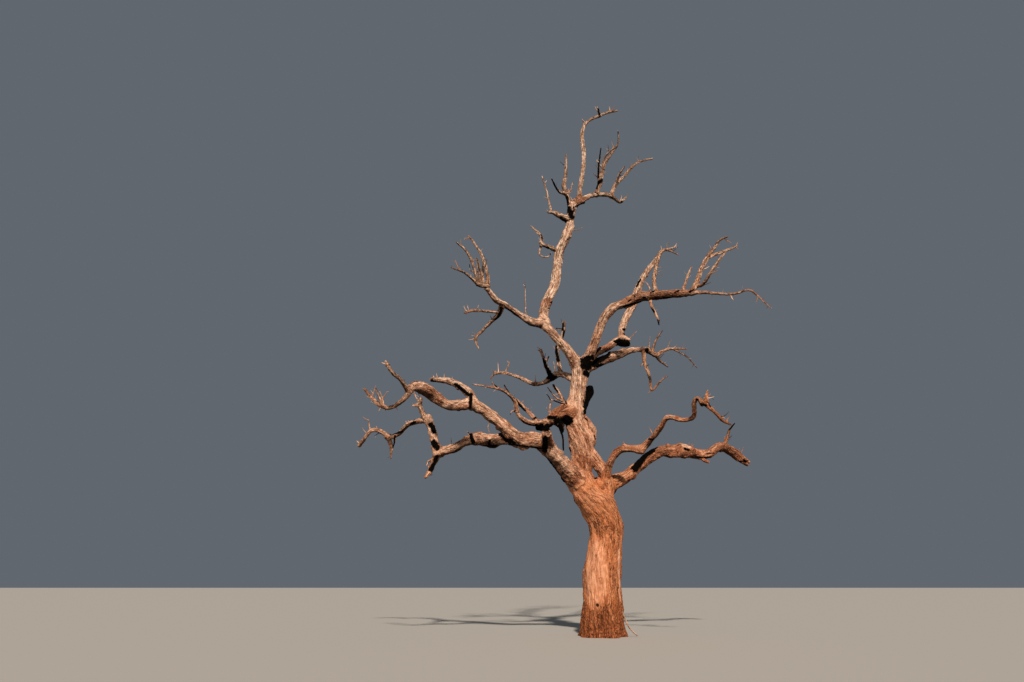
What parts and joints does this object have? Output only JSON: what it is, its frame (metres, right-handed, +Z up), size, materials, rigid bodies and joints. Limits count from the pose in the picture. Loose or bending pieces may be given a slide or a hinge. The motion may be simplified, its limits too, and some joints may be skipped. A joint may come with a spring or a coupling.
{
  "type": "dead tree",
  "caption": "Tall bare dead hardwood tree with a flared trunk, crooked broken boughs and leafless twigs, standing rooted in the ground.",
  "frame": {"origin": "the middle of the flat cut under the trunk, at ground level", "axes": "+Z up the trunk; +X to the viewer's right and +Y away from the viewer, as the picture shows the tree"},
  "size_m": [9.6182, 4.62, 13.3451],
  "materials": {
    "trunk_wood": "weathered, cracked, half barked",
    "bough_wood": "weathered, cracked",
    "twigs": "dry grey wood"
  },
  "bodies": {
    "root": {"trunk": "trunk_wood", "low_right_bough": "bough_wood", "low_right_arm": "bough_wood", "low_right_arch": "bough_wood", "low_right_arch_arm": "bough_wood", "low_left_bough": "bough_wood", "low_left_arm": "bough_wood", "left_upper_bough": "bough_wood", "left_lower_bough": "bough_wood", "left_riser": "bough_wood", "left_reach": "bough_wood", "broken_collar_bough": "bough_wood", "dark_stub": "bough_wood", "mid_left_bough": "bough_wood", "upper_left_bough": "bough_wood", "upper_left_arm": "bough_wood", "leader_bough": "bough_wood", "top_right_bough": "bough_wood", "tall_leader": "bough_wood", "right_arch": "bough_wood", "right_arch_arm": "bough_wood", "right_mid_bough": "bough_wood", "right_back_bough": "bough_wood", "right_back_arm": "bough_wood", "low_right_tip_twigs": "twigs", "low_right_arch_twigs": "twigs", "low_left_tip_twigs": "twigs", "left_drop_twigs": "twigs", "left_riser_twigs": "twigs", "left_reach_twigs": "twigs", "broken_bough_twigs": "twigs", "broken_bough_fork": "twigs", "collar_twigs": "twigs", "knot_twigs": "twigs", "rising_twigs": "twigs", "mid_left_twigs": "twigs", "left_hanging_twigs": "twigs", "left_whip_twig": "twigs", "left_hand_twigs": "twigs", "leader_side_twigs": "twigs", "crown_stub_twigs": "twigs", "crown_left_twigs": "twigs", "crown_mid_twigs": "twigs", "crown_right_twigs": "twigs", "leader_tip_twigs": "twigs", "right_crest_twigs": "twigs", "right_whip_twigs": "twigs", "right_arch_spur": "twigs", "arch_riser_twigs": "twigs", "arch_hanging_twigs": "twigs", "right_back_twigs": "twigs", "right_mid_twigs": "twigs", "right_hanging_twigs": "twigs"}
  },
  "joints": []
}
